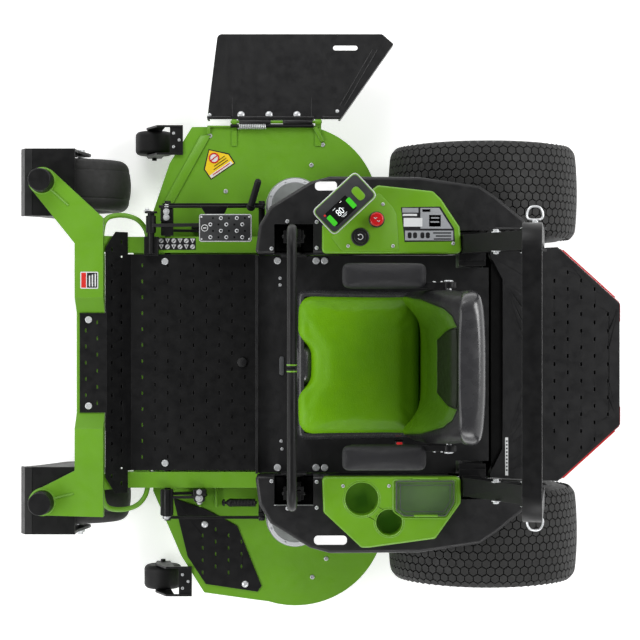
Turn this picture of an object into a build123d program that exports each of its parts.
from build123d import *
import os
from math import atan2, degrees

# Electric zero-turn riding lawn mower with a 60-inch side-discharge deck.
# Millimetres. +X is forward, +Y is the mower's left, +Z is up from the ground.
# Every piece is modelled about the drive wheels' centre plane. save() then moves it, so that the
# origin of the stored pieces is on the ground at the middle of the whole machine.

# ---- overall -------------------------------------------------------------------------------------
FRONT, REAR = 947, -916              # caster forks' front edge, rear cover's edge
DECK_LEFT, CHUTE_RIGHT = 792, -1062  # widest points on each side
ORIGIN = ((FRONT + REAR) / 2, (DECK_LEFT + CHUTE_RIGHT) / 2, 0)
RUN = 0.05                           # radial running clearance of a pin or shaft

# ---- chassis -------------------------------------------------------------------------------------
RAIL_IN, RAIL_OUT = 350, 401
RAIL_LOW, RAIL_TOP = 249, 300
RAIL_FRONT, RAIL_REAR = 607, -170
TUBE_WALL = 4
BEAM_REAR, BEAM_FRONT = 679, 768
BEAM_LOW, BEAM_TOP = 360, 420
ARM_LOW = 384                        # the caster arms clear the turning forks
BEAM_DROP = 50                       # the middle of the beam lies this much lower
SHEET = 5                            # folded steel sheet
PIVOT_X = 869
PIVOT_Y = {"left": 435, "right": -570}
FLOOR_TOP, FLOOR_T = 300, 4
TAB_LOW, WING_HALF = 370, 415        # the floor's front edge lies on the beam; its ramp is this wide

# ---- wheels --------------------------------------------------------------------------------------
DRIVE_X, DRIVE_R, DRIVE_IN, DRIVE_OUT = -518, 300, 382, 689
CASTER_X, CASTER_R, CASTER_W = 783, 165, 166
FORK_TOP, FORK_W, FORK_T = 375, 213, 8
AXLE_R = 9.5
STEM_R = 16

# ---- cutting deck and its lift -------------------------------------------------------------------
DECK_LOW, DECK_TOP, DECK_T = 60, 200, 5
BLADES = {"left": (80, 500), "center": (272, 0), "right": (80, -500)}
BLADE_LEN, BLADE_W, BLADE_T, BLADE_Z = 508, 64, 6, 76
SPINDLE_R = 15
SHAFT_FRONT_X, SHAFT_REAR_X, SHAFT_Z, SHAFT_R = 489, 187, 272, 10
CRANK, CRANK_DIP = 100, 22           # lifting arm's reach, and how far its end hangs below the shaft
BAR_RISE = 40                        # link bars above the shafts
BAR_Y = {"left": 494, "right": -503}
CHUTE_HINGE = (-777, 213)            # y, z of the chute's hinge rod
ROLLERS = {"left": (520, 713), "right": (549, -719)}
ROLLER_R, ROLLER_W, ROLLER_Z = 62, 78, 75
PEDAL_X, PEDAL_Z = 537, 332          # lift pedal's hinge

# ---- body and controls ---------------------------------------------------------------------------
SEAT_DECK_Z, SEAT_DECK_REAR = 556, -415
FENDER_TOP, FENDER_T = 640, 6
SKIRT_LOW, SKIRT_REAR = 470, -180    # the fender hangs this low in front of here
CONSOLE_TOP = 680
LAP_X, LAP_PIVOT_Y, LAP_PIVOT_Z = 79, 380, 590
LAP_SWING_Y, LAP_SWING_Z = 385, 665
SWING_PIN_R = 5
GRIP_R, GRIP_Z = 13.5, 1033
COVER_TOP = 555

# ---- seat ----------------------------------------------------------------------------------------
SEAT_TILT = (62, 572)                # x, z of the seat plate's front hinge
SEAT_FRONT, SEAT_REAR, SEAT_HALF = 66, -285, 226
SEAT_LOW, SEAT_TOP = 606, 680
ARM_PIVOT = (-372, 862)

# ---- roll bar ------------------------------------------------------------------------------------
FOLD = (-606, 1000)                  # x, z of the roll bar's hinge
POST_IN, POST_OUT = 335, 389
HOOP_IN, HOOP_OUT, HOOP_D = 336.5, 387.5, 51
HOOP_TOP = (-540, 1494)
HOOP_LEAN = degrees(atan2(HOOP_TOP[0] - FOLD[0], HOOP_TOP[1] - FOLD[1]))


# ---- helpers -------------------------------------------------------------------------------------
def span(x, y, z):
    """A box between two limits on each axis."""
    (x0, x1), (y0, y1), (z0, z1) = sorted(x), sorted(y), sorted(z)
    return Pos((x0 + x1) / 2, (y0 + y1) / 2, (z0 + z1) / 2) * Box(x1 - x0, y1 - y0, z1 - z0)


def lift(plan, z0, z1):
    """A face in plan, between two heights."""
    return Pos(0, 0, z0) * extrude(plan, z1 - z0, dir=(0, 0, 1))


def slab(points, z0, z1):
    """An outline in plan, between two heights."""
    return lift(Polygon(*points, align=None), z0, z1)


def side_slab(points, y0, y1):
    """An outline of (x, z) points, between two sideways limits."""
    y0, y1 = sorted((y0, y1))
    return Pos(0, y0, 0) * extrude(Plane.XZ * Polygon(*points, align=None), y1 - y0, dir=(0, 1, 0))


def front_slab(points, x0, x1):
    """An outline of (y, z) points, between two limits along the machine."""
    return Pos(x0, 0, 0) * extrude(Plane.YZ * Polygon(*points, align=None), x1 - x0, dir=(1, 0, 0))


def rod_x(r, y, z, x0, x1):
    return Pos((x0 + x1) / 2, y, z) * Rot(0, 90, 0) * Cylinder(r, abs(x1 - x0))


def rod_y(r, x, z, y0, y1):
    return Pos(x, (y0 + y1) / 2, z) * Rot(90, 0, 0) * Cylinder(r, abs(y1 - y0))


def rod_z(r, x, y, z0, z1):
    return Pos(x, y, (z0 + z1) / 2) * Cylinder(r, abs(z1 - z0))


def mirrored(shape):
    """The same shape on the other side of the centre plane."""
    return mirror(shape, about=Plane.XZ)


def sides(shape):
    """A left-hand shape and its mirror image."""
    return [shape, mirrored(shape)]


def save(name, *shapes):
    """Move one node's solids to the stored origin and write them."""
    solids = [s for shape in shapes for s in shape.solids()]
    moved = [s.moved(Location((-ORIGIN[0], -ORIGIN[1], -ORIGIN[2]))) for s in solids]
    export_step(moved[0] if len(moved) == 1 else Compound(children=moved), f"parts/{name}.step")


# ---- chassis -------------------------------------------------------------------------------------
def frame_rails():
    tube = span((RAIL_REAR, RAIL_FRONT), (RAIL_IN, RAIL_OUT), (RAIL_LOW, RAIL_TOP))
    tube -= span((RAIL_REAR - 1, RAIL_FRONT - 50), (RAIL_IN + TUBE_WALL, RAIL_OUT - TUBE_WALL),
                 (RAIL_LOW + TUBE_WALL, RAIL_TOP - TUBE_WALL))
    riser = side_slab([(560, RAIL_LOW), (612, RAIL_LOW), (733, ARM_LOW), (686, ARM_LOW), (686, 374),
                       (612, RAIL_TOP), (560, RAIL_TOP)], RAIL_IN, RAIL_OUT)
    for x in (SHAFT_FRONT_X, SHAFT_REAR_X):
        tube -= rod_y(SHAFT_R + RUN, x, SHAFT_Z, RAIL_IN - 1, RAIL_OUT + 1)
    frame = tube + riser
    frame = frame + mirrored(frame)
    for x0, x1 in ((545, 596), (-20, 31)):
        frame += span((x0, x1), (-RAIL_IN, RAIL_IN), (RAIL_LOW, FLOOR_TOP - FLOOR_T))
    return frame


def arm_outline(side):
    """A caster arm in plan, from the beam to the rounded end around its pivot."""
    y = PIVOT_Y[side]
    end = Pos(PIVOT_X, y) * Circle(44)
    if side == "right":
        arm = Polygon((BEAM_FRONT, -205), (BEAM_FRONT, -375), (PIVOT_X + 28, y + 34),
                      (PIVOT_X - 30, y - 32), (BEAM_REAR, -454), (BEAM_REAR, -205), align=None)
    else:
        arm = Polygon((BEAM_FRONT, 205), (BEAM_FRONT, 337), (PIVOT_X + 8, y - 43),
                      (PIVOT_X - 12, y + 42), (BEAM_REAR, 482), (BEAM_REAR, 205), align=None)
    return arm + end


def front_beam():
    low, top, drop = BEAM_LOW, BEAM_TOP, BEAM_DROP
    beam = front_slab([(-345, top), (-205, top), (-158, top - drop), (158, top - drop), (205, top),
                       (330, top), (330, low), (218, low), (171, low - drop), (-171, low - drop),
                       (-218, low), (-345, low)], BEAM_REAR, BEAM_FRONT)
    cavity = front_slab([(-340, top - SHEET), (-207, top - SHEET), (-160, top - drop - SHEET),
                         (160, top - drop - SHEET), (207, top - SHEET), (325, top - SHEET),
                         (325, low - 99), (-340, low - 99)], BEAM_REAR + SHEET, BEAM_FRONT - SHEET)
    for side in ("left", "right"):
        beam += lift(arm_outline(side), ARM_LOW, top)
    beam -= cavity
    for side in ("left", "right"):
        beam -= rod_z(36, PIVOT_X, PIVOT_Y[side], low - 1, top + 1)
    return beam


def caster_pivots():
    tubes = []
    for side in ("left", "right"):
        y = PIVOT_Y[side]
        tube = rod_z(36, PIVOT_X, y, FORK_TOP + 3, 478) - rod_z(STEM_R + RUN, PIVOT_X, y, 370, 466)
        cap = rod_z(35.5, PIVOT_X, y, 478, 490)
        tubes += [tube, fillet(cap.edges().group_by(Axis.Z)[-1], 4)]
    return tubes


def rear_frame():
    plate = side_slab([(-60, RAIL_LOW), (-60, 380), (-430, 470), (-430, 610), (-500, 610), (-508, 480),
                       (-720, 470), (-720, 290), (-620, RAIL_LOW - 30), (-420, RAIL_LOW - 30),
                       (-330, RAIL_LOW)], RAIL_IN - 10, RAIL_IN)
    plate -= rod_y(42, DRIVE_X, DRIVE_R, RAIL_IN - 11, RAIL_IN + 1)
    foot = span((-500, -420), (RAIL_IN - 51, 399), (610, 620))
    post = span((-490, -430), (RAIL_IN - 51, RAIL_IN), (470, 610))
    side = plate + foot + post
    frame = side + mirrored(side)
    for x, z in ((-110, 255), (-690, 330)):
        frame += span((x, x + 50), (-RAIL_IN, RAIL_IN), (z, z + 50))
    frame += slab([(-505, 341), (-715, 341), (-895, 182), (-895, -182), (-715, -341), (-505, -341)], 462, 466)
    hitch = span((-790, -690), (-50, 50), (340, 350))
    hitch = fillet(hitch.edges().filter_by(Axis.Z).group_by(Axis.X)[0], 30)
    return frame + hitch - rod_z(9.5, -755, 0, 339, 351)


# ---- floor, seat deck and mouldings --------------------------------------------------------------
def slots(x0, x1, y0, y1, pitch_x, pitch_y, z, inside=None):
    """Staggered grip slots, elongated sideways, over a rectangle."""
    cut = []
    column = 0
    x = x0
    while x <= x1:
        y = y0 + (pitch_y / 2 if column % 2 else 0)
        while y <= y1:
            if inside is None or inside(x, y):
                cut.append(Pos(x, y, z) * extrude(SlotOverall(13, 5, rotation=90), 40, both=True))
            y += pitch_y
        x += pitch_x
        column += 1
    return cut


def footplate():
    """The slotted floor, its full-width front ramp and the tab that lies on the front beam."""
    t, half = FLOOR_T, 345
    low = FLOOR_TOP - t
    plate = span((205, 606), (-half, half), (low, FLOOR_TOP))
    plate += side_slab([(600, low), (607, low), (677, TAB_LOW), (677, TAB_LOW + t), (673, TAB_LOW + t),
                        (603, FLOOR_TOP), (600, FLOOR_TOP)], -half, half)
    wing = side_slab([(613, low + 6.4), (677, TAB_LOW), (677, TAB_LOW + t), (673, TAB_LOW + t),
                      (613, FLOOR_TOP + 10.5)], half, WING_HALF)
    wing -= slab([(678, 360), (678, WING_HALF + 1), (648, WING_HALF + 1)], low, TAB_LOW + 9)
    plate += wing + mirrored(wing)
    plate += span((674, 758), (-157, 157), (TAB_LOW, TAB_LOW + t))
    cuts = slots(240, 600, -310, 310, 41, 51, FLOOR_TOP)
    cuts += slots(631, 660, -384, 384, 27, 51.2, (FLOOR_TOP + TAB_LOW) / 2)
    return plate - cuts - slots(703, 750, -128, 128, 36, 51, TAB_LOW)


def seat_deck():
    t = 5
    top = span((SEAT_DECK_REAR, 196), (-332, 332), (SEAT_DECK_Z - t, SEAT_DECK_Z))
    top += span((-515, SEAT_DECK_REAR), (-295, 295), (SEAT_DECK_Z - t, SEAT_DECK_Z))
    front = span((191, 196), (-332, 332), (FLOOR_TOP + 1, SEAT_DECK_Z))
    walls = span((SEAT_DECK_REAR, 196), (327, 332), (SEAT_DECK_Z - 130, SEAT_DECK_Z))
    walls += span((LAP_X - 38, LAP_X + 38), (327, 332), (SEAT_DECK_Z, FENDER_TOP - 12))
    rear = span((SEAT_DECK_REAR, SEAT_DECK_REAR + t), (-332, 332), (SEAT_DECK_Z - 130, SEAT_DECK_Z))
    lip = span((189, 196), (-332, 332), (SEAT_DECK_Z, 590))
    return top + front + walls + mirrored(walls) + rear + lip


FENDER_OUTLINE = [(196, 334), (184, 420), (150, 478), (30, 552), (-30, 568), (-300, 566), (-482, 540),
                  (-530, 508), (-618, 436), (-618, 406), (-524, 406), (-524, 334)]


def console_outline(side):
    if side == "right":
        return [(-6, -334), (-6, -419), (-173, -538), (-338, -520), (-362, -497), (-418, -413), (-424, -334)]
    return [(-6, 334), (-10, 440), (-124, 546), (-146, 546), (-345, 519), (-421, 412), (-421, 334)]


def fender(side):
    """One moulded wing over a drive wheel, with grab slot, lever opening and console opening."""
    sign = 1 if side == "left" else -1
    plan = Polygon(*[(x, sign * y) for x, y in FENDER_OUTLINE], align=None)
    body = lift(plan, SKIRT_LOW, FENDER_TOP)
    body = fillet(body.edges().filter_by(Axis.Z), 12)
    body = fillet(body.faces().sort_by(Axis.Z)[-1].edges(), 11)
    body -= lift(offset(plan, -FENDER_T), SKIRT_LOW - 1, FENDER_TOP - FENDER_T)
    body -= span((-700, SKIRT_REAR), (sign * 341, sign * 600), (SKIRT_LOW - 1, FENDER_TOP - 26))
    body -= span((-700, -390), (sign * 300, sign * 342), (SKIRT_LOW - 1, FENDER_TOP - 26))
    body -= span((-391, 200), (sign * 300, sign * 342), (SKIRT_LOW - 1, SEAT_DECK_Z - 20))
    body -= span((20, 138), (sign * 333, sign * 424), (560, FENDER_TOP + 1))
    body -= span((-530, -400), (sign * 320, sign * 405), (560, FENDER_TOP + 1))
    well = offset(Polygon(*console_outline(side), align=None), -9)
    body -= lift(well, FENDER_TOP - 30, FENDER_TOP + 10)
    grab = (18, -81, 514, 542) if side == "left" else (15, -51, 525, 553)
    slot = span((grab[0], grab[1]), (sign * grab[2], sign * grab[3]), (FENDER_TOP - 40, FENDER_TOP + 1))
    return body - fillet(slot.edges().filter_by(Axis.Z), 12)


def console_shell(side):
    """The raised green tray that carries the controls, open below."""
    plan = Polygon(*console_outline(side), align=None)
    tray = lift(plan, FENDER_TOP, CONSOLE_TOP)
    tray = fillet(tray.edges().filter_by(Axis.Z), 14)
    tray = fillet(tray.faces().sort_by(Axis.Z)[-1].edges(), 6)
    return tray - lift(offset(plan, -5), FENDER_TOP - 1, CONSOLE_TOP - 5)


CUPS = [(-125, 400, 49.5), (-207, 470, 39)]
BIN = [(-224, 347), (-224, 436), (-250, 452), (-376, 452), (-402, 410), (-402, 347)]
CUP_DEPTH = 64


def console_left():
    tray = console_shell("left")
    for x, y, r in CUPS:
        tray += rod_z(r + 3, x, y, CONSOLE_TOP - CUP_DEPTH - 3, CONSOLE_TOP - 2)
    tray += slab(BIN, CONSOLE_TOP - 48, CONSOLE_TOP - 2)
    for x, y, r in CUPS:
        tray -= rod_z(r, x, y, CONSOLE_TOP - CUP_DEPTH, CONSOLE_TOP + 1)
    inner = offset(Polygon(*BIN, align=None), -4)
    return tray - lift(inner, CONSOLE_TOP - 44, CONSOLE_TOP + 16)


def console_right():
    tray = console_shell("right")
    tray -= rod_z(8.6, -169, -435, 660, 690)
    return tray - rod_z(19, -120, -383, 660, 690)


def display_unit():
    case = Box(175, 98, 26)
    case = fillet(case.edges().filter_by(Axis.Z), 18)
    case = fillet(case.faces().sort_by(Axis.Z)[-1].edges(), 5)
    angle = degrees(atan2(0.682, 0.731))
    case = Pos(-72, -476, 782) * Rot(0, 0, angle) * case
    stalk = rod_z(22, -82, -468, CONSOLE_TOP, 771)
    return case + stalk


def storage_lid():
    lid = slab([(x, y) for x, y in BIN], CONSOLE_TOP + 0.5, CONSOLE_TOP + 4)
    return lid + rod_x(3.5, 345, CONSOLE_TOP + 5, -404, -234)


def pto_knob():
    head = Pos(-169, -435, CONSOLE_TOP + 19) * Cylinder(20.6, 20)
    head = fillet(head.edges(), 5)
    return head + rod_z(8.5, -169, -435, 664, CONSOLE_TOP + 12)


def power_button():
    head = rod_z(18.8, -120, -383, CONSOLE_TOP - 10, CONSOLE_TOP + 9)
    return fillet(head.edges().group_by(Axis.Z)[-1], 3)


# ---- power pack ----------------------------------------------------------------------------------
def battery_packs():
    packs = []
    for x in (-160, -10):
        for y in (-210, 0, 210):
            pack = Pos(x + 20, y, RAIL_TOP + 105) * Box(140, 195, 200)
            packs.append(fillet(pack.edges().filter_by(Axis.Z), 8))
    return packs


def battery_tray():
    return span((-230, 100), (-318, 318), (RAIL_TOP, RAIL_TOP + 5))


def drive_motors():
    motors = []
    for sign in (1, -1):
        can = rod_y(82, DRIVE_X, DRIVE_R, sign * 140, sign * 300)
        box = rod_y(95, DRIVE_X, DRIVE_R, sign * 300, sign * (RAIL_IN - 10))
        nose = rod_y(40, DRIVE_X, DRIVE_R, sign * (RAIL_IN - 10), sign * 366)
        bore = rod_y(18 + RUN, DRIVE_X, DRIVE_R, sign * 320, sign * 370)
        motors.append(can + box + nose - bore)
    return motors


# ---- wheels --------------------------------------------------------------------------------------
def tyre(x, y, z, radius, width, bead, shoulder):
    """A tyre with a rounded shoulder and a straight bore over its rim."""
    w = width / 2
    ring = Pos(x, y, z) * Rot(90, 0, 0) * Cylinder(radius, width)
    ring = fillet(ring.edges(), shoulder)
    return ring - rod_y(bead, x, z, y - w - 1, y + w + 1)


def drive_rim(sign):
    y_mid = sign * (DRIVE_IN + DRIVE_OUT) / 2
    face = y_mid + sign * 40
    barrel = rod_y(152, DRIVE_X, DRIVE_R, y_mid - 118, y_mid + 118)
    barrel -= rod_y(145, DRIVE_X, DRIVE_R, y_mid - 120, y_mid + 120)
    disc = rod_y(146, DRIVE_X, DRIVE_R, face - 3, face + 3)
    hub = rod_y(62, DRIVE_X, DRIVE_R, face - sign * 3, sign * 372)
    shaft = rod_y(18, DRIVE_X, DRIVE_R, sign * 322, sign * 372)
    rim = barrel + disc + hub + shaft
    for spot in PolarLocations(50, 5):
        nut = Pos(DRIVE_X, face + sign * 8, DRIVE_R) * Rot(90, 0, 0) * spot * Cylinder(10, 18)
        rim += nut
    return rim + rod_y(28, DRIVE_X, DRIVE_R, face, face + sign * 30)


def caster_fork(side):
    y = PIVOT_Y[side]
    half = FORK_W / 2
    top = span((773, FRONT - 20), (y - half, y + half), (FORK_TOP - FORK_T, FORK_TOP))
    front = side_slab([(FRONT - 21, FORK_TOP), (FRONT - 21, FORK_TOP - FORK_T), (FRONT - 7, 340),
                       (FRONT, 342), (FRONT - 17, FORK_TOP)], y - half, y + half)
    ear = [(773, FORK_TOP), (FRONT - 21, FORK_TOP), (FRONT - 12, 345), (900, 300), (830, 150), (810, 134),
           (783, 130), (756, 140), (748, 165), (752, 200), (773, 300)]
    fork = top + front
    for side_y in (y - half, y + half - FORK_T):
        plate = side_slab(ear, side_y, side_y + FORK_T)
        fork += plate - rod_y(AXLE_R + RUN, CASTER_X, CASTER_R, side_y - 1, side_y + FORK_T + 1)
    stem = rod_z(STEM_R, PIVOT_X, y, FORK_TOP - FORK_T, 462)
    return fork + stem


def caster_axle(side):
    y = PIVOT_Y[side]
    half = FORK_W / 2
    bolt = rod_y(AXLE_R, CASTER_X, CASTER_R, y - half - 14, y + half + 22)
    bolt += rod_y(15, CASTER_X, CASTER_R, y - half - 14, y - half)
    return bolt + rod_y(15, CASTER_X, CASTER_R, y + half, y + half + 15)


def caster_rim(side):
    y = PIVOT_Y[side]
    w = 62
    barrel = rod_y(78, CASTER_X, CASTER_R, y - w, y + w) - rod_y(70, CASTER_X, CASTER_R, y - 70, y + 70)
    web = rod_y(71, CASTER_X, CASTER_R, y - 5, y + 5)
    hub = rod_y(26, CASTER_X, CASTER_R, y - 92, y + 92)
    return barrel + web + hub - rod_y(AXLE_R + RUN, CASTER_X, CASTER_R, y - 99, y + 99)


# ---- cutting deck --------------------------------------------------------------------------------
DECK_OUTLINE = [(541, -490), (489, -643), (416, -762), (40, -765), (-60, -620), (-60, 640), (63, DECK_LEFT),
                (205, 774), (376, 750), (451, 630), (542, 420)]
DECK_ROUNDS = (("left", 292), ("right", 268))


def deck_body(inset, z0, z1):
    """The deck's outline as a solid, drawn smaller by the inset all round."""
    plan = Polygon(*DECK_OUTLINE, align=None)
    body = lift(offset(plan, -inset) if inset else plan, z0, z1)
    for name, radius in DECK_ROUNDS:
        body += rod_z(radius - inset, *BLADES[name], z0, z1)
    return body


def deck_shell():
    shell = deck_body(0, DECK_LOW, DECK_TOP) - deck_body(DECK_T, DECK_LOW - 1, DECK_TOP - DECK_T)
    shell -= span((-20, 356), (-800, -740), (DECK_LOW - 1, DECK_TOP - 12))
    for x, y in BLADES.values():
        shell -= rod_z(SPINDLE_R + 9, x, y, DECK_TOP - 9, DECK_TOP + 1)
    return shell


def deck_step():
    plate = slab([(476, 443), (370, 480), (268, 534), (190, 728), (203, 747), (371, 722), (430, 632)],
                 DECK_TOP, DECK_TOP + 5)
    return plate - slots(255, 385, 545, 700, 42, 40, DECK_TOP)


def blade_motors():
    motors = []
    for name, (x, y) in BLADES.items():
        radius, top = (71, 247) if name == "center" else (92, 292)
        can = fillet(rod_z(radius, x, y, DECK_TOP, top).edges().group_by(Axis.Z)[-1], 12)
        motors.append(can - rod_z(SPINDLE_R + RUN, x, y, DECK_TOP - 1, DECK_TOP + 32))
    return motors


def blade(name):
    """A cutting blade with lifted wing tips, on its spindle."""
    half = BLADE_LEN / 2
    bar = Box(BLADE_LEN, BLADE_W, BLADE_T)
    bar = chamfer(bar.edges().filter_by(Axis.Z), 12)
    for sign in (1, -1):
        bar += Pos(sign * (half - 48), -sign * (BLADE_W / 2 - 8), 10) * Rot(sign * 18, 0, 0) * Box(90, 14, 20)
    disc = Pos(0, 0, 8) * Cylinder(42, 12)
    shaft = Pos(0, 0, (DECK_TOP + 30 - BLADE_Z) / 2) * Cylinder(SPINDLE_R, DECK_TOP + 30 - BLADE_Z)
    bolt = Pos(0, 0, -7) * extrude(RegularPolygon(15, 6), 6)
    x, y = BLADES[name]
    return Pos(x, y, BLADE_Z) * Rot(0, 0, 35) * (bar + disc + shaft + bolt)


def roller_bracket(side):
    x, y = ROLLERS[side]
    arms = []
    for dy in (-48, 42):
        arm = side_slab([(x - 104, DECK_TOP), (x - 104, DECK_TOP + 12), (x - 20, DECK_TOP + 12),
                         (x + 22, 120), (x + 22, 56), (x - 22, 56), (x - 46, DECK_TOP)], y + dy, y + dy + 6)
        arms.append(arm - rod_y(8, x, ROLLER_Z, y + dy - 1, y + dy + 7))
    bridge = span((x - 104, x - 62), (y - 48, y + 48), (DECK_TOP, DECK_TOP + 8))
    pin = rod_y(8, x, ROLLER_Z, y - 56, y + 56)
    return [arms[0] + arms[1] + bridge, pin]


def roller(side):
    x, y = ROLLERS[side]
    drum = Pos(x, y, ROLLER_Z) * Rot(90, 0, 0) * Cylinder(ROLLER_R, ROLLER_W)
    return fillet(drum.edges(), 16) - rod_y(8 + RUN, x, ROLLER_Z, y - 50, y + 50)


CHUTE = [(366, -786), (332, -1062), (-202, -1062), (-238, -1030), (-66, -786)]


def chute():
    y, z = CHUTE_HINGE
    plan = Polygon(*CHUTE, align=None)
    cover = lift(plan, z - 60, z - 2)
    cover = fillet(cover.edges().filter_by(Axis.Z).group_by(Axis.Y)[0], 16)
    cover -= lift(offset(plan, -4), z - 61, z - 6)
    cover -= span((-60, 360), (-792, -780), (z - 61, z - 6))
    cover -= Pos(-82, -1017, z - 20) * extrude(SlotOverall(80, 16), 40)
    cover += span((20, 266), (y - 12, y - 6), (z - 8, z + 1))
    for x0, x1 in ((24, 120), (160, 262)):
        knuckle = span((x0, x1), (y - 14, y), (z - 8, z + 3)) + rod_x(9, y, z, x0, x1)
        cover += knuckle - rod_x(5 + RUN, y, z, x0 - 1, x1 + 1)
    cover -= rod_x(5 + RUN, y, z, -70, 370)
    return cover


def chute_hinge():
    y, z = CHUTE_HINGE
    rod = rod_x(5, y, z, -6, 290)
    lugs = []
    for x0, x1 in ((-4, 16), (270, 286)):
        lug = span((x0, x1), (-765, y - 8), (DECK_TOP - 20, z)) + rod_x(9, y, z, x0, x1)
        lug += span((x0, x1), (-768, -757), (DECK_TOP - 20, DECK_TOP + 5))
        lug += span((x0, x1), (-760, -700), (DECK_TOP, DECK_TOP + 5))
        lug -= span((x0, x1), (-765, -700), (DECK_TOP - 50, DECK_TOP))
        lugs.append(lug - rod_x(5, y, z, x0 - 1, x1 + 1))
    return [rod] + lugs


# ---- deck lift -----------------------------------------------------------------------------------
def crank(x, y, sign, pin_out):
    """A lifting arm that reaches back from a cross shaft, with the pin that carries a hanger."""
    tip = (x - (CRANK ** 2 - CRANK_DIP ** 2) ** 0.5, SHAFT_Z - CRANK_DIP)
    arm = side_slab([(x, SHAFT_Z + 13), (x + 13, SHAFT_Z), (x, SHAFT_Z - 13), (tip[0], tip[1] - 10),
                     (tip[0] - 10, tip[1]), (tip[0], tip[1] + 10)], y, y + sign * 8)
    return arm + rod_y(6, *tip, y, y + sign * pin_out)


def lift_shaft(x, inboard):
    shaft = rod_y(SHAFT_R, x, SHAFT_Z, BAR_Y["right"] - 14, BAR_Y["left"] + 14)
    for side, sign in (("left", 1), ("right", -1)):
        y = sign * 326 if inboard else sign * 418
        shaft += crank(x, y, sign, 20)
        bar_y = BAR_Y[side]
        rise = side_slab([(x - 11, SHAFT_Z), (x + 11, SHAFT_Z), (x + 9, SHAFT_Z + BAR_RISE + 9),
                          (x - 9, SHAFT_Z + BAR_RISE + 9)], bar_y - sign * 6, bar_y - sign * 14)
        shaft += rise + rod_y(6, x, SHAFT_Z + BAR_RISE, bar_y - sign * 14, bar_y + sign * 9)
    return shaft


def lift_bars():
    z = SHAFT_Z + BAR_RISE
    bars = []
    for side, sign in (("left", 1), ("right", -1)):
        y = BAR_Y[side]
        bar = span((SHAFT_REAR_X, SHAFT_FRONT_X), (y - 4, y + 4), (z - 9, z + 9))
        for x, r in ((SHAFT_REAR_X, 7), (SHAFT_FRONT_X, 6 + RUN)):
            bar += rod_y(13, x, z, y - 4, y + 4)
            bar -= rod_y(r, x, z, y - 6, y + 6)
        bars.append(bar)
    return bars


def deck_hangers():
    """Upright plates on the deck, each with a slot around a lifting arm's pin."""
    tip = (CRANK ** 2 - CRANK_DIP ** 2) ** 0.5
    plates = []
    for x, y in ((SHAFT_FRONT_X - tip, 430), (SHAFT_REAR_X - tip, 338)):
        z = SHAFT_Z - CRANK_DIP
        for sign in (1, -1):
            plate = side_slab([(x - 26, DECK_TOP), (x - 22, z + 14), (x + 22, z + 14), (x + 26, DECK_TOP)],
                              sign * y, sign * (y + 6))
            slot = span((x - 12, x + 12), (sign * (y - 1), sign * (y + 7)), (z - 8.5, z + 8.5))
            plates.append(plate - fillet(slot.edges().filter_by(Axis.Y), 7))
    return plates


def lift_pedal():
    """The foot pedal that raises the deck: plate, arm and the tube it turns on."""
    sleeve = rod_y(15, PEDAL_X, PEDAL_Z, -466, -412) - rod_y(11 + RUN, PEDAL_X, PEDAL_Z, -470, -400)
    arm = side_slab([(PEDAL_X - 8, PEDAL_Z - 8), (PEDAL_X - 2, PEDAL_Z + 13), (370, 396), (230, 396),
                     (230, 372), (366, 372)], -440, -430)
    arm -= rod_y(11 + RUN, PEDAL_X, PEDAL_Z, -470, -400)
    plate = span((214, 380), (-468, -380), (396, 401))
    plate = fillet(plate.edges().filter_by(Axis.Z), 8)
    holes = [rod_z(4.5, x, y, 390, 410) for x in range(240, 365, 22) for y in (-452, -398)]
    rim = span((214, 219), (-460, -388), (401, 408))
    return sleeve + arm + plate + rim - holes


def pedal_mount():
    """The fixed tube at the floor's right edge that the pedal turns on."""
    tube = rod_y(11, PEDAL_X, PEDAL_Z, -474, -346)
    flange = rod_y(20, PEDAL_X, PEDAL_Z, -480, -474)
    foot = span((PEDAL_X - 22, PEDAL_X + 22), (-400, -340), (RAIL_TOP, PEDAL_Z))
    return tube + flange + foot


# ---- levers --------------------------------------------------------------------------------------
def lap_pivot(sign):
    """The rocking bracket of a steering lever."""
    y, low, high = LAP_PIVOT_Y, LAP_SWING_Z - 25, LAP_SWING_Z + 18
    web, ear = (sign * (y - 14), sign * (y - 8)), (sign * (y - 14), sign * (y + 22))
    hub = rod_y(22, LAP_X, LAP_PIVOT_Z, sign * (y - 24), sign * (y + 16))
    hub -= rod_y(10 + RUN, LAP_X, LAP_PIVOT_Z, sign * (y - 30), sign * (y + 20))
    post = span((LAP_X - 16, LAP_X + 16), web, (LAP_PIVOT_Z + 12, high))
    ears = span((LAP_X - 30, LAP_X + 30), web, (low, high))
    for x in (LAP_X - 30, LAP_X + 22):
        ears += span((x, x + 8), ear, (low, high))
    pin = rod_x(SWING_PIN_R, sign * LAP_SWING_Y, LAP_SWING_Z, LAP_X - 34, LAP_X + 34)
    return hub + post + ears + pin


def lap_mount(sign):
    """The fixed pin and plate under a lever, on the side wall of the seat deck."""
    pin = rod_y(10, LAP_X, LAP_PIVOT_Z, sign * 332, sign * (LAP_PIVOT_Y + 22))
    plate = rod_y(30, LAP_X, LAP_PIVOT_Z, sign * 332, sign * 338)
    return pin + plate


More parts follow.
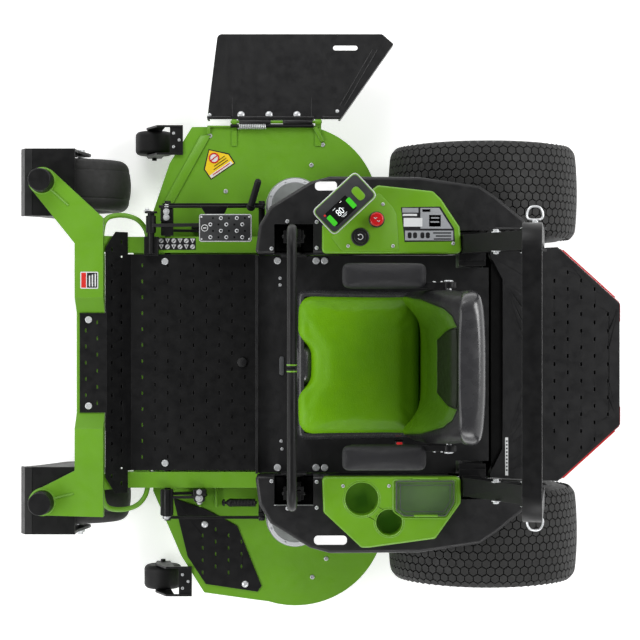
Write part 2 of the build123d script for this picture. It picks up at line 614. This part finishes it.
def lap_bar(sign):
    """A steering lever: an upright tube bent inwards over the operator's lap."""
    y_low, y_high = LAP_SWING_Y + 4, 393
    path = FilletPolyline((LAP_X, sign * y_low, LAP_SWING_Z + 14), (LAP_X, sign * y_high, 900),
                          (LAP_X, sign * y_high, GRIP_Z), (LAP_X, sign * 3.5, GRIP_Z), radius=60)
    tube = sweep(Plane(origin=path @ 0, z_dir=path % 0) * Circle(GRIP_R), path=path)
    block = span((LAP_X - 21, LAP_X + 21), (sign * (LAP_SWING_Y - 9), sign * (LAP_SWING_Y + 20)),
                 (LAP_SWING_Z - 8, LAP_SWING_Z + 34))
    return tube + block - rod_x(SWING_PIN_R + RUN, sign * LAP_SWING_Y, LAP_SWING_Z, LAP_X - 30, LAP_X + 30)


# ---- seat ----------------------------------------------------------------------------------------
def seat_base():
    """The hinged seat plate with its two slide rails."""
    x, z = SEAT_TILT
    plate = span((-330, x - 14), (-190, 190), (z - 4, z + 2))
    hinge = rod_y(8, x, z, -190, 190) + span((x - 20, x), (-190, 190), (z - 4, z + 2))
    rails = span((-300, 20), (120, 150), (z + 2, z + 16))
    return plate + hinge + rails + mirrored(rails)


def seat_slides():
    """The runners under the cushion."""
    _, z = SEAT_TILT
    return span((-290, 10), (118, 152), (z + 16.5, SEAT_LOW - 6))


def seat_cushion():
    cushion = span((SEAT_REAR, SEAT_FRONT), (-SEAT_HALF, SEAT_HALF), (SEAT_LOW, SEAT_TOP))
    cushion = fillet(cushion.edges().filter_by(Axis.Z).group_by(Axis.X)[-1], 60)
    return fillet(cushion.faces().sort_by(Axis.Z)[-1].edges(), 22)


def seat_back():
    """The backrest with its side bolsters, leaning back, and the pan that joins it to the slides."""
    lean = [(-292, SEAT_LOW - 6), (-292, SEAT_TOP + 6), (-322, 700), (-338, 860), (-378, 1050), (-402, 1082),
            (-436, 1078), (-462, 1000), (-444, 820), (-396, 640), (-352, SEAT_LOW - 6)]
    bolster = [(-318, 700), (-240, 712), (-262, 860), (-332, 1000), (-378, 1050), (-338, 860)]
    back = side_slab(lean, -222, 222)
    for sign in (1, -1):
        back += side_slab(bolster, sign * 160, sign * 215)
    return back + span((-330, 30), (-180, 180), (SEAT_LOW - 6, SEAT_LOW))


def armrest(sign):
    """A padded armrest on the arm that it folds up with."""
    x, z = ARM_PIVOT
    pad = span((-310, -59), (sign * 223, sign * 303), (862, 900))
    pad = fillet(pad.edges().filter_by(Axis.Z), 22)
    pad = fillet(pad.faces().sort_by(Axis.Z)[-1].edges(), 12)
    arm = side_slab([(x - 18, z), (x, z + 20), (-300, 876), (-90, 862), (-90, 852), (x, z - 20)],
                    sign * 226, sign * 244)
    return pad + arm - rod_y(9 + RUN, x, z, sign * 218, sign * 250)


def arm_pin(sign):
    """The armrest's hinge bolt in the side of the backrest."""
    x, z = ARM_PIVOT
    return rod_y(9, x, z, sign * 222, sign * 248) + rod_y(14, x, z, sign * 244.5, sign * 250)


# ---- roll bar ------------------------------------------------------------------------------------
def rops_base():
    x, z = FOLD
    post = side_slab([(-427, 620), (-427, 702), (x + 26, z - 34), (x + 4, z - 40), (x - 28, z - 60),
                      (-483, 702), (-483, 620)], POST_IN, POST_OUT)
    ear = [(x + 34, z - 80), (x + 30, z + 44), (x + 18, z + 52), (x + 12, z + 26), (x - 18, z + 26),
           (x - 32, z + 8), (x - 34, z - 60), (x + 6, z - 130)]
    for y0 in (POST_IN - 7, POST_OUT):
        post += side_slab(ear, y0, y0 + 7)
    post += rod_y(8, x, z, POST_IN - 16, POST_OUT + 18)
    flange = span((-500, -420), (POST_IN - 20, 399), (620, 628))
    post += flange
    return sides(post)


def rops_hoop():
    """The folding hoop, square tube with rounded upper corners."""
    height = ((HOOP_TOP[0] - FOLD[0]) ** 2 + (HOOP_TOP[1] - FOLD[1]) ** 2) ** 0.5
    outer = span((-HOOP_D / 2, HOOP_D / 2), (-HOOP_OUT, HOOP_OUT), (-26, height))
    outer = fillet(outer.edges().filter_by(Axis.X).group_by(Axis.Z)[-1], 72)
    inner = span((-HOOP_D, HOOP_D), (-HOOP_IN, HOOP_IN), (-99, height - HOOP_D))
    inner = fillet(inner.edges().filter_by(Axis.X).group_by(Axis.Z)[-1], 26)
    hoop = outer - inner - rod_y(8 + RUN, 0, 0, -500, 500)
    hoop -= rod_y(6.2, 0, 42, -500, 500)
    return Pos(FOLD[0], 0, FOLD[1]) * Rot(0, HOOP_LEAN, 0) * hoop


def rops_pin(sign):
    """A lock pin with its pull ring, through the foot of the hoop."""
    pin = rod_y(6, 0, 42, sign * (HOOP_IN - 6), sign * (HOOP_OUT + 26))
    ring = Pos(0, sign * (HOOP_OUT + 34), 42) * Rot(0, 90, 0) * Torus(14, 3)
    return Pos(FOLD[0], 0, FOLD[1]) * Rot(0, HOOP_LEAN, 0) * (pin + ring)


# ---- rear cover ----------------------------------------------------------------------------------
COVER = [(-519, 334), (-519, 346), (-726, 358), (REAR, 185), (REAR, -185), (-726, -358), (-519, -346),
         (-519, -334), (-558, -258), (-558, 258)]


def cover_slotted(x, y):
    """Whether the rear cover has a grip slot here, clear of its slanted corners."""
    return abs(y) < 300 and x < -600 and abs(y) < 330 - max(0, -740 - x) * 0.9


def rear_cover():
    plan = Polygon(*COVER, align=None)
    cover = lift(plan, COVER_TOP - 70, COVER_TOP) - lift(offset(plan, -5), COVER_TOP - 71, COVER_TOP - 5)
    return cover - slots(-880, -610, -306, 310, 41, 51, COVER_TOP, cover_slotted)


def tail_lights():
    """Lamp strips on the two slanted rear corners."""
    x0, y0, x1, y1 = -740, 345, -900, 200
    nx, ny = -(y0 - y1), (x1 - x0)
    length = (nx ** 2 + ny ** 2) ** 0.5
    nx, ny = nx / length, -ny / length
    strip = slab([(x0 + nx, y0 + ny), (x1 + nx, y1 + ny), (x1 + 7 * nx, y1 + 7 * ny),
                  (x0 + 7 * nx, y0 + 7 * ny)], COVER_TOP - 34, COVER_TOP - 10)
    return sides(strip)


# ---- fasteners -----------------------------------------------------------------------------------
def bolt_head(x, y, z, r=11):
    """A round-head carriage bolt seen on a flat panel."""
    head = rod_z(r, x, y, z, z + 5)
    return fillet(head.edges().group_by(Axis.Z)[-1], 3)


def body_bolts():
    bolts = [bolt_head(495, y, FLOOR_TOP) for y in (-322, 322)]
    bolts += [bolt_head(730, y, 374) for y in (-136, 136)]
    bolts += [bolt_head(249, 0, FLOOR_TOP, 14)]
    bolts += [bolt_head(x, y, SEAT_DECK_Z) for x in (130, 12, -14) for y in (-316, 316)]
    return bolts


os.makedirs("parts", exist_ok=True)

save("frame_rails", frame_rails())
save("front_beam", front_beam())
save("caster_pivot_tubes", *caster_pivots())
save("rear_frame", rear_frame(), battery_tray())
save("footplate", footplate() + pedal_mount())
save("seat_deck", seat_deck(), lap_mount(1), lap_mount(-1))
for side in ("left", "right"):
    save(f"fender_{side}", fender(side))
save("console_left", console_left())
save("console_right", console_right())
save("display_unit", display_unit())
save("storage_lid", storage_lid())
save("pto_knob", pto_knob())
save("power_button", power_button())
save("battery_packs", *battery_packs())
save("drive_motors", *drive_motors())
for side, sign in (("left", 1), ("right", -1)):
    save(f"drive_tyre_{side}", tyre(DRIVE_X, sign * (DRIVE_IN + DRIVE_OUT) / 2, DRIVE_R, DRIVE_R,
                                    DRIVE_OUT - DRIVE_IN, 152, 52))
    save(f"drive_rim_{side}", drive_rim(sign))
    save(f"caster_fork_{side}", caster_fork(side))
    save(f"caster_axle_{side}", caster_axle(side))
    save(f"caster_rim_{side}", caster_rim(side))
    save(f"caster_tyre_{side}", tyre(CASTER_X, PIVOT_Y[side], CASTER_R, CASTER_R, CASTER_W, 78, 34))
save("deck_shell", deck_shell())
save("deck_step", deck_step())
save("blade_motors", *blade_motors())
for name in BLADES:
    save(f"blade_{name}", blade(name))
save("roller_brackets", *roller_bracket("left"), *roller_bracket("right"))
for side in ("left", "right"):
    save(f"roller_{side}", roller(side))
save("chute", chute())
save("chute_hinge", *chute_hinge())
save("lift_shaft_front", lift_shaft(SHAFT_FRONT_X, False))
save("lift_shaft_rear", lift_shaft(SHAFT_REAR_X, True))
save("lift_bars", *lift_bars())
save("deck_hangers", *deck_hangers())
save("lift_pedal", lift_pedal())
for side, sign in (("left", 1), ("right", -1)):
    save(f"lap_pivot_{side}", lap_pivot(sign))
    save(f"lap_bar_{side}", lap_bar(sign))
    save(f"armrest_{side}", armrest(sign))
    save(f"rops_pin_{side}", rops_pin(sign))
save("seat_base", seat_base())
save("seat_cushion", seat_cushion())
save("seat_back", seat_back(), arm_pin(1), arm_pin(-1), *sides(seat_slides()))
save("rops_base", *rops_base())
save("rops_hoop", rops_hoop())
save("rear_cover", rear_cover())
save("tail_lights", *tail_lights())
save("body_bolts", *body_bolts())
